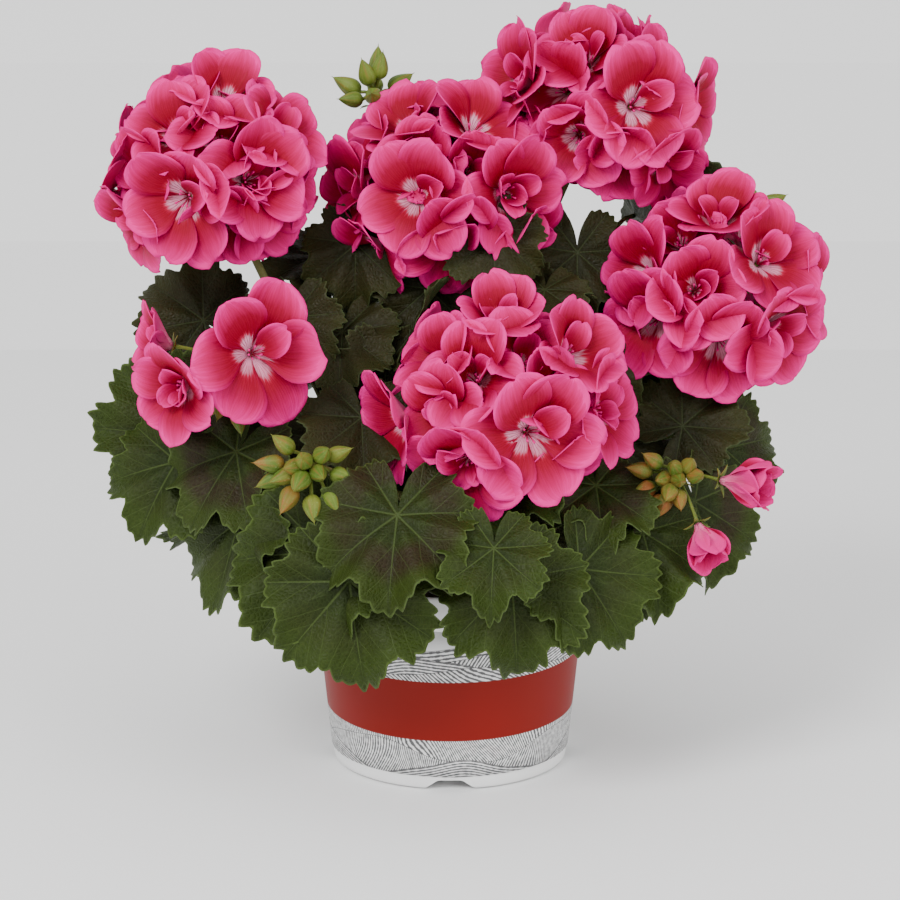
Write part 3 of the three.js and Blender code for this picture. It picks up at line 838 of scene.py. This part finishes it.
def add_sepal(surface, place, turn, length, opens):
    """A narrow pointed sepal, in floret space."""
    columns, rows = 5, 6
    points, uvs = [], []
    for j in range(rows):
        t = j / (rows - 1)
        half = length * 0.17 * sin(pi * min(1, 0.18 + 0.82 * t) ** 0.8) + 0.05
        a = radians(opens + 22 * t)
        y, z = 1.1 + t * length * sin(a), -1.2 + t * length * cos(a)
        for i in range(columns):
            s = -1 + 2 * i / (columns - 1)
            points.append(Vector((half * s, y - 0.4 * half * s * s, z)))
            uvs.append((0.1 + 0.02 * s, 0.3 + 0.5 * t))
    roll = Matrix.Rotation(turn, 3, "Z")
    points = [place @ (roll @ p) for p in points]
    surface.add_shell(points, grid_faces(columns, rows), uvs, [0.0] * len(points), 0.25)


def add_hub(surface, hub):
    """The swollen top of the flower stalk, with its bracts."""
    line = [hub - UP * 3.2, hub, hub + UP * 3.0]
    add_rod(surface, line, lambda t: 1.2 + 2.2 * sin(pi * t), 10, 8)
    for k in range(6):
        place = Place(hub - UP * 1.5, Matrix.Identity(3))
        add_sepal(surface, place, TAU * k / 6, 7.0, 75)


# ---- buds
def add_bud(surface, hub, azimuth, elevation, length, fat, pink, red, seed):
    """A pedicel that carries one bud of five ribbed sepals with a pointed end."""
    rng = random.Random(str(seed))
    out = direction(azimuth, elevation)
    body = min(length * 0.66, fat * 3.1)
    neck = hub + out * (length - body)
    middle = hub.lerp(neck, 0.5) + UP * 1.6
    add_rod(surface, [hub, middle, neck], lambda t: 0.62 + 0.3 * t, 7, 8)
    sides, rows = 30, 14
    turn = frame_on(out, upright(out, Vector((1, 0, 0))))
    bend = rng.uniform(-0.12, 0.12)
    spin = rng.uniform(0, TAU)
    points, uvs = [], []
    for j in range(rows + 1):
        t = j / rows
        girth = sin(pi * min(1.0, t**0.70)) ** 0.72 if 0 < t < 1 else 0.0
        girth = max(girth * (1 - 0.25 * t), 0.05)
        for i in range(sides):
            a = TAU * i / sides
            rib = 1 + 0.09 * abs(cos(2.5 * a)) * smooth(t * 3) - 0.04
            r = fat * girth * rib
            points.append(neck + turn @ Vector((
                r * cos(a + spin) + bend * body * t * t,
                r * sin(a + spin),
                body * t - 0.4,
            )))
            uvs.append((i / sides, t))
    ends = [neck + turn @ Vector((0, 0, -0.7)),
            neck + turn @ Vector((bend * body, 0, body + 1.2))]
    surface.add_rings(points, ends, uvs, sides, (pink, red))


# Buds as [azimuth, elevation, length, fatness, pink of an opening flower, red blush]: those
# in the heads, then each cluster's, after its hub from the middle of its CAD box.
HEAD_BUDS = {
    "a": [(-38, -14, 42, 4.0, 0.0, 1.0)],
    "c": [(-70, -40, 40, 3.2, 0.0, 0.6)],
    "e": [(-88, -34, 34, 3.0, 0.0, 0.3)],
    "f": [(-112, -46, 30, 4.4, 0.0, 0.5), (-84, -58, 34, 4.0, 0.0, 0.9),
          (-66, -40, 30, 3.4, 0.2, 0.9), (-150, -60, 26, 3.8, 0.0, 0.3)],
}
CLUSTERS = {
    "g": ((-2.4, 9.9, 2.0), [
        (-100, 20, 22, 4.3, 0, 0.1), (-160, 6, 26, 4.5, 0, 0.5), (-150, 40, 24, 4.2, 0, 0.2),
        (-60, 30, 22, 4.2, 0, 0.0), (-20, 24, 22, 4.0, 0, 0.1), (-170, -20, 26, 4.3, 0, 0.2),
        (-128, -40, 28, 4.7, 0, 0.5), (-84, -46, 30, 4.5, 0, 0.1), (-50, -42, 28, 4.2, 0, 0.0),
        (-24, -14, 24, 4.3, 0, 0.0), (-104, -16, 24, 4.7, 0, 0.1),
        (-122, 6, 20, 4.4, 0, 0.3), (-70, -6, 20, 4.3, 0, 0.1), (-142, -14, 22, 4.5, 0, 0.2),
    ]),
    "h": ((-5.1, 14.3, 7.1), [
        (-150, 34, 24, 4.0, 0, 0.6), (-165, 14, 26, 4.2, 0, 0.5), (-155, -14, 26, 4.4, 0, 0.8),
        (-140, -38, 26, 4.4, 0, 0.9), (-110, -14, 24, 4.2, 0, 0.3), (-100, 30, 22, 4.0, 0, 0.3),
        (-70, 34, 22, 4.0, 0, 0.2), (-172, -34, 28, 4.2, 0, 0.7),
        (-128, 6, 20, 4.0, 0, 0.4), (-95, 8, 20, 3.9, 0, 0.3), (-60, 14, 22, 4.0, 0, 0.5),
        (-125, -38, 24, 4.2, 0, 0.7), (-92, -30, 22, 4.0, 0, 0.5),
    ]),
    "i": ((0.6, 1.0, -5.3), [
        (-120, 62, 23, 4.6, 0, 0.0), (170, 28, 23, 4.8, 0, 0.0), (20, 32, 23, 4.6, 0, 0.0),
        (-60, 70, 25, 4.4, 0, 0.0), (-90, 14, 20, 4.6, 0, 0.0), (90, 36, 20, 4.4, 0, 0.0),
        (60, 82, 26, 4.2, 0, 0.0), (-150, 4, 20, 4.2, 0, 0.0), (-20, 6, 21, 4.2, 0, 0.0),
    ]),
    "j": ((-2.2, -2.5, -6.4), [
        (-110, 50, 20, 4.2, 0, 0.0), (160, 44, 20, 4.2, 0, 0.0), (10, 24, 20, 4.2, 0, 0.1),
        (-40, 22, 20, 4.0, 0, 0.0), (80, 30, 20, 4.0, 0, 0.0),
    ]),
}
# Two flowers of cluster h are opening: azimuth, elevation, distance, size.
OPENING = [(-35, 4, 42, 24), (-68, -40, 44, 21)]


def build_clusters():
    """Each cluster's buds as one piece, and the two opening flowers of cluster h."""
    for key, (_, buds) in CLUSTERS.items():
        hub, node = hub_of(key)
        green = Surface()
        add_hub(green, hub)
        for bud in buds:
            add_bud(green, hub, *bud, seed=f"{key}{bud}")
        if key == "h":
            for k, (az, el, distance, size) in enumerate(OPENING):
                throat, out = throat_of(hub, az, el, distance - 0.45 * size, size)
                bloom = Surface()
                add_floret(bloom, throat, out, UP, size, f"open{k}", close=0.30, extra=4)
                bloom.to_object(f"opening_flower_{k + 1}", PETAL, "petal")
                add_pedicel(green, hub, throat, out, size)
        green.to_object(f"buds_{key}", BUD, "bud", [node])


# ---- leaves
LEAF_GROWTH = 1.04  # a blade's size against its CAD blade
LEAF_TEETH = 6  # on each lobe


def leaf_margin(turn, notch, wobble):
    """Distance from the petiole to the margin: seven toothed lobes round a deep sinus."""
    body = 0.82 + 0.18 * cos(turn)
    sinus = 1 - 0.84 * exp(-(((pi - abs(turn)) / 0.17) ** 2))
    along = turn / LOBE + 0.03 * sin(3.7 * turn + wobble)
    off = abs(along - round(along)) * 2
    lobe = 1 - notch * off**2.6
    tooth = 1 - abs(2 * ((LEAF_TEETH * along + 0.5) % 1) - 1)
    fine = 0.012 * sin(31 * turn + wobble * 3)
    rise = 0.075 + 0.03 * sin(13 * turn + wobble)
    return body * sinus * lobe * (0.935 + rise * tooth**0.8 + fine)


def add_leaf(surface, at, along, normal, reach, seed):
    """A leaf blade as a thin shell with its own shallow cup, set on the frame it is given."""
    rng = random.Random(seed)
    across = normal.cross(along)
    spokes, rings = 240, 11
    notch = rng.uniform(0.15, 0.29)
    wobble, p2, p3 = (rng.uniform(0, TAU) for _ in range(3))
    side = rng.uniform(-0.03, 0.10)
    curl = [rng.uniform(-0.26, 0.14) for _ in range(8)]
    points, uvs, kind = [at.copy()], [(0.5, 0.5)], [0.0]
    for j in range(1, rings + 1):
        t = (j / rings) ** 0.85
        for i in range(spokes):
            turn = TAU * i / spokes - pi
            r = leaf_margin(turn, notch, wobble) * t * LEAF_GROWTH
            x, y = r * cos(turn), r * sin(turn)
            lobe = turn / LOBE
            number = round(lobe)
            near = cos(pi * (lobe - number)) ** 2
            # cup and twist, drooping tip, curled lobes, pleats, ruffles, raised sides
            lift = 0.09 * r * r + 0.03 * sin(2 * turn) * r * r
            lift -= 0.10 * max(0.0, cos(turn)) * r * r
            lift += curl[number % 8] * near * r**3
            lift -= 0.082 * cos(TAU * lobe) * r**1.4
            lift += 0.085 * r**3 * sin(3 * turn + p2)
            lift += 0.055 * r**5 * sin(9 * turn + p3)
            lift += side * abs(sin(turn)) * r
            flat = at + along * (x * reach) + across * (y * reach)
            points.append(flat + normal * (lift * reach))
            uvs.append((0.5 + x / 4, 0.5 + y / 4))
            kind.append(t)
    faces = []
    for i in range(spokes):
        k = (i + 1) % spokes
        faces.append((0, 1 + i, 1 + k))
        for j in range(rings - 1):
            a = 1 + j * spokes
            b = a + spokes
            faces.append((a + i, b + i, b + k, a + k))
    surface.add_shell(points, faces, uvs, kind, 0.42)


LEAF_NODES = sorted(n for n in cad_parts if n.startswith("leaf_"))
# Which of the three leaf colourings each leaf has; the rest are plain green.
DARK_LEAVES = {3, 16, 17, 18, 19, 20, 21, 22, 23, 24, 26, 34, 38, 39, 40, 41, 42}
ZONED_LEAVES = {4, 8, 14, 15, 25, 33, 36}
# Which shoot bears which leaves.
SHOOT_LEAVES = {
    "stem_left": (1, 2, 3, 4, 5, 19, 26, 32, 37, 41),
    "stem_front": (6, 7, 8, 9, 10, 11, 20, 24, 27),
    "stem_right": (12, 13, 14, 15, 16, 22, 23, 25, 28, 33, 38),
    "stem_back": (17, 18, 21, 29, 30, 31, 34, 35, 36, 39, 40, 42),
}
LEAF_PLACES = {int(n[5:]): leaf_frame(n) for n in LEAF_NODES}


def build_leaves():
    for node in LEAF_NODES:
        number = int(node[5:])
        at, along, normal, reach = LEAF_PLACES[number]
        blade = Surface()
        add_leaf(blade, at, along, normal, reach, node)
        tone = 1 if number in DARK_LEAVES else 2 if number in ZONED_LEAVES else 0
        blade.to_object(f"blade_{number:02d}", LEAF_MATERIALS[tone], "leaf", [node])


# Smaller leaves inside the plant, as [x, y, z above the rim, azimuth and elevation
# they face, reach]; the rim is the pot's.
INNER_LEAVES = [
    (20, -4, 158, -84, 20, 30), (62, 24, 120, -70, 24, 32), (66, -8, 96, -78, 20, 32),
    (30, 10, 124, -92, 16, 34), (-10, 6, 130, -96, 18, 34), (-44, 14, 150, -100, 20, 32),
    (-74, -2, 118, -104, 24, 32), (-30, -14, 96, -92, 18, 34), (92, 34, 70, -60, 24, 34),
    (80, -10, 58, -70, 18, 34), (-60, -22, 64, -104, 16, 34), (-84, -14, 44, -110, 20, 34),
    (14, -30, 66, -88, 14, 34), (46, -36, 50, -80, 16, 34), (-20, -44, 50, -94, 16, 32),
    (-104, 6, 84, -120, 24, 32), (90, 40, 130, -60, 30, 30), (0, 54, 150, 88, 30, 34),
    (-60, 70, 110, 120, 30, 36), (60, 76, 110, 60, 30, 36), (0, 84, 96, 90, 26, 36),
    (110, 40, 96, 10, 30, 32), (-112, 36, 100, 170, 30, 32), (-30, 84, 60, 104, 24, 36),
    (34, 84, 56, 74, 24, 36), (-84, 60, 70, 140, 28, 36), (86, 62, 66, 40, 28, 36),
]


def inner_places():
    """Where each inner leaf joins its petiole, its two directions and its reach."""
    lo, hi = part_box("pot")
    rim = Vector(((lo.x + hi.x) / 2, (lo.y + hi.y) / 2, hi.z)) / MM
    for x, y, z, azimuth, elevation, reach in INNER_LEAVES:
        normal = direction(azimuth, elevation)
        along = (normal * normal.z - UP).normalized()
        yield rim + Vector((x, y, z)), along, normal, reach


def build_inner_leaves():
    """The inner leaves, shared out between four pieces."""
    blades = [Surface() for _ in range(4)]
    for k, (at, along, normal, reach) in enumerate(inner_places()):
        add_leaf(blades[k % len(blades)], at, along, normal, reach, f"inner{k}")
    for k, blade in enumerate(blades):
        blade.to_object(f"inner_blades_{k + 1}", LEAF_MATERIALS[1], "leaf")


# ---- shoots
# Each main stem as points from the middle of its foot.
SHOOT_PATHS = {
    "stem_left": [(0, 0, 0), (-6, 0, 32), (-24, 2, 72), (-40, 8, 118)],
    "stem_front": [(0, 0, 0), (0, -6, 28), (-2, -20, 60), (2, -28, 82)],
    "stem_right": [(0, 0, 0), (6, -2, 32), (26, 2, 72), (42, 6, 116)],
    "stem_back": [(0, 0, 0), (0, 6, 36), (0, 16, 82), (6, 22, 132)],
}
# Flower stalks: the shoot, the head or cluster, and a point that the stalk bends through.
STALKS = {
    "stem_left": [("a", None), ("f", None)],
    "stem_front": [("e", None), ("g", None)],
    "stem_right": [("d", None), ("h", None), ("j", (-24, 8, -44))],
    "stem_back": [("b", None), ("c", None), ("i", (0, 26, -56))],
}


def foot_of(node):
    """The middle of the lowest ring of a stem."""
    points, _ = merged(node)
    low = min(p.z for p in points)
    ring = [p for p in points if p.z < low + 0.5]
    return sum(ring, Vector()) / len(ring)


def spring_point(line, end):
    """Where a stalk that ends at `end` leaves the main stem."""
    foot, top = line[0].z, line[-1].z
    height = foot + 24 + 0.62 * max(0.0, min(end.z, foot + 122) - foot - 32)
    part = min(max((min(height, top - 3) - foot) / (top - foot), 0.2), 0.97)
    return line[round(part * (len(line) - 1))]


def build_shoots():
    """Each shoot's main stem with the stalks of its leaves, heads and bud clusters."""
    inner = list(inner_places())
    for node, offsets in SHOOT_PATHS.items():
        rng = random.Random(node)
        green = Surface()
        foot = foot_of(node)
        path = [foot + Vector(p) for p in offsets]
        line = curve_points(path, 60)
        add_rod(
            green, path,
            lambda t: lerp(4.2, 2.7, t) + 0.35 * max(0.0, sin(t * 34)) ** 6, 14, 48, 0.35,
        )
        for number in SHOOT_LEAVES[node]:
            at, _, normal, _ = LEAF_PLACES[number]
            add_petiole(green, line, at, normal, rng.uniform(0.0, 0.5))
        for at, _, normal, _ in inner:
            nearest = min(SHOOT_PATHS, key=lambda n: (top_of(n) - at).length)
            if nearest == node:
                add_petiole(green, line, at, normal, 0.3)
        for key, via in STALKS[node]:
            hub, _ = hub_of(key)
            start = spring_point(line, hub)
            middle = hub + Vector(via) if via else start.lerp(hub, 0.5)
            add_rod(green, [start, middle, hub], lambda t: lerp(2.3, 1.7, t), 10, 24, 0.25)
        green.to_object(node.replace("stem", "shoot"), STEM, "stem", [node])


def top_of(node):
    """The upper end of a main stem."""
    return foot_of(node) + Vector(SHOOT_PATHS[node][-1])


def add_petiole(surface, line, at, normal, red):
    """A leaf stalk that arches up from the stem into the middle of its leaf."""
    end, below = at - normal * 0.5, at - normal * 9
    start = spring_point(line, end)
    middle = start.lerp(below, 0.5)
    middle.z += 0.06 * (below - start).length
    add_rod(surface, [start, middle, below, end], lambda t: lerp(1.7, 1.15, t), 8, 24, red)


# ---- pot, label, soil
BODY_TAPER = 8 / 79  # how much the pot's radius grows with height
FILM_LIFT = 0.5  # the film's outer face above the pot's wall


def turned(profile, segments, shift=None):
    """A closed body turned round the axis; the profile starts and ends on it."""
    surface = Surface()
    points, uvs = [], []
    for r, z in profile[1:-1]:
        for i in range(segments):
            a = TAU * i / segments
            rr, zz = shift(r, z, a) if shift else (r, z)
            points.append(Vector((rr * sin(a), -rr * cos(a), zz)))
            uvs.append((i / segments, z / 100))
    ends = [Vector((0, 0, profile[0][1])), Vector((0, 0, profile[-1][1]))]
    surface.add_rings(points, ends, uvs, segments, (0.0, 0.0))
    return surface


def body_radius(z):
    """The pot's outer wall below its rim step, in millimetres."""
    lo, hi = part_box("label")
    top = (hi.x - lo.x) / 2 / MM - FILM_LIFT
    return top - BODY_TAPER * (hi.z / MM - z)


def build_pot():
    """The shell, from the drain ring under its floor up the wall and down the inside."""
    lo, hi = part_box("pot")
    rim, top = (hi.x - lo.x) / 2 / MM, hi.z / MM
    wall, step = 1.6, 79.0

    def notch(r, z, a):
        """Lifts the foot over the four drainage gaps in its edge."""
        if r < 51 or z > 4.6:
            return r, z
        off = abs(degrees((a + pi / 4) % (pi / 2) - pi / 4))
        raised = 4.6 * min(1.0, max(0.0, (12.3 - off) / (12.3 - 5.6)))
        if z >= raised:
            return r, z
        return (r if r < 55.2 else max(r, body_radius(raised))), raised

    profile = [
        (0, 0), (30, 0), (30.7, 0.4), (32.2, 4.5), (33, 5), (50.9, 5), (51.6, 4.6),
        (52.4, 0.5), (52.9, 0), (55.0, 0), (55.7, 0.35),
        *[(body_radius(z), z) for z in (1.4, 4.6, 20, 40, 60, step - 0.6)],
        (body_radius(step) + 0.25, step), (rim - 0.5, step + 0.5), (rim - 0.1, step + 1.2),
        (rim, step + 2.2), (rim, top - 1.8), (rim - 0.12, top - 0.9), (rim - 0.4, top - 0.25),
        (rim - 0.8, top), (rim - wall + 0.3, top - 0.2), (rim - wall, top - 0.9),
        (rim - wall, step + 2.4), (body_radius(step) - wall, step + 0.8),
        (body_radius(60) - wall, 60), (body_radius(8) - wall, 8), (body_radius(7) - 3, 7),
        (20, 7), (0, 7),
    ]
    turned(profile, 240, notch).to_object("pot_shell", POT, "pot_plastic", ["pot"])


def build_label():
    """The film as a mesh that carries the artwork's coordinates; its seam is at the back."""
    lo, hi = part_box("label")
    bottom, top = lo.z / MM, hi.z / MM
    columns, rows = 217, 9
    points, uvs = [], []
    for j in range(rows):
        z = lerp(bottom, top, j / (rows - 1))
        for i in range(columns):
            a = lerp(-pi, pi, i / (columns - 1)) * LABEL_WRAP
            r = body_radius(z) + FILM_LIFT
            points.append(Vector((r * sin(a), -r * cos(a), z)))
            uvs.append((a * LABEL_RADIUS / LABEL_UNIT, z / LABEL_UNIT))
    film = Surface()
    film.add_shell(points, grid_faces(columns, rows), uvs, [0.0] * len(points), 0.38)
    film.to_object("label_wrap", LABEL, "label_film", ["label"])


def build_soil():
    """Soil that fills the pot to its CAD level, with a crumbly top."""
    lo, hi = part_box("potting_soil")
    radius, bottom, top = (hi.x - lo.x) / 2 / MM, lo.z / MM, hi.z / MM
    segments, rings = 120, 44
    profile = [(0, bottom + 5.2), (body_radius(8) - 2.2, bottom + 5.2)]
    profile += [(body_radius(z) - 2.0, z) for z in (30, 55, 74)]
    profile += [(radius - 0.6, top - 3)]
    profile += [(radius * k / rings, top - 1) for k in range(rings, 0, -1)]
    profile += [(0, top - 1)]

    def crumble(r, z, a):
        """Roughens the top face and leaves the sides as they are."""
        if z < top - 2:
            return r, z
        p = Vector((r * cos(a), r * sin(a), 0))
        lump = 1.3 * noise.noise(p * 0.09) + 0.9 * noise.noise(p * 0.33)
        lump += 0.5 * noise.noise(p * 0.9)
        return min(r + 0.3 * noise.noise(p * 0.5), radius), z + lump

    turned(profile, segments, crumble).to_object("soil_crumb", SOIL, "soil", ["potting_soil"])


build_heads()
build_clusters()
build_leaves()
build_inner_leaves()
build_shoots()
build_pot()
build_label()
build_soil()


# ---- floor, light, camera
# In metres. Each light: place, diameter, power in watts; both look at LIT_POINT.
LIGHTS = {"key": ((-0.9, -1.5, 1.5), 1.0, 42), "fill": ((1.2, -1.2, 0.9), 1.2, 14)}
LIT_POINT = Vector((0, 0, 0.18))
SKY_STRENGTH = 1.05
CAMERA_PLACE = (0, -1.2, 0.415)
CAMERA_PITCH = 12.5  # degrees below level
CAMERA_LENS, CAMERA_SENSOR = 104.04, 36.0


def build_stage():
    """A plain pale floor that curves up behind the plant."""
    mesh = bpy.data.meshes.new("studio_floor")
    size, rows = 3.0, 24
    points, faces = [], []
    for j in range(rows + 1):
        y = lerp(-2.5, 2.0, j / rows)
        z = 0.0 if y < 1.0 else (y - 1.0) ** 2 * 1.2
        points += [(-size, y, z - 0.0005), (size, y, z - 0.0005)]
    for j in range(rows):
        a = 2 * j
        faces.append((a, a + 1, a + 3, a + 2))
    mesh.from_pydata(points, [], faces)
    floor = new_object("studio_floor", mesh)
    m = Nodes("studio_floor")
    cloud = m.noise(m.position(), 2.0, 2.0)
    color = m.mix(cloud, (0.92, 0.92, 0.92), (0.95, 0.95, 0.95))
    mesh.materials.append(m.finish(color, 0.9, None))


def add_light(name, place, size, power):
    data = bpy.data.lights.new(name, "AREA")
    data.shape = "DISK"
    data.size = size
    data.energy = power
    light = new_object(name, data)
    light.location = place
    light.rotation_euler = (LIT_POINT - Vector(place)).to_track_quat("-Z", "Y").to_euler()


def build_light():
    world = bpy.data.worlds.new("studio")
    bpy.context.scene.world = world
    world.use_nodes = True
    background = world.node_tree.nodes["Background"]
    background.inputs[0].default_value = (1.0, 1.0, 1.0, 1.0)
    background.inputs[1].default_value = SKY_STRENGTH
    for name, (place, size, power) in LIGHTS.items():
        add_light(name, place, size, power)


def build_camera():
    data = bpy.data.cameras.new("camera")
    data.lens = CAMERA_LENS
    data.sensor_width = CAMERA_SENSOR
    camera = new_object("camera", data)
    camera.location = CAMERA_PLACE
    camera.rotation_euler = (radians(90 - CAMERA_PITCH), 0, 0)
    bpy.context.scene.camera = camera


build_stage()
build_light()
build_camera()
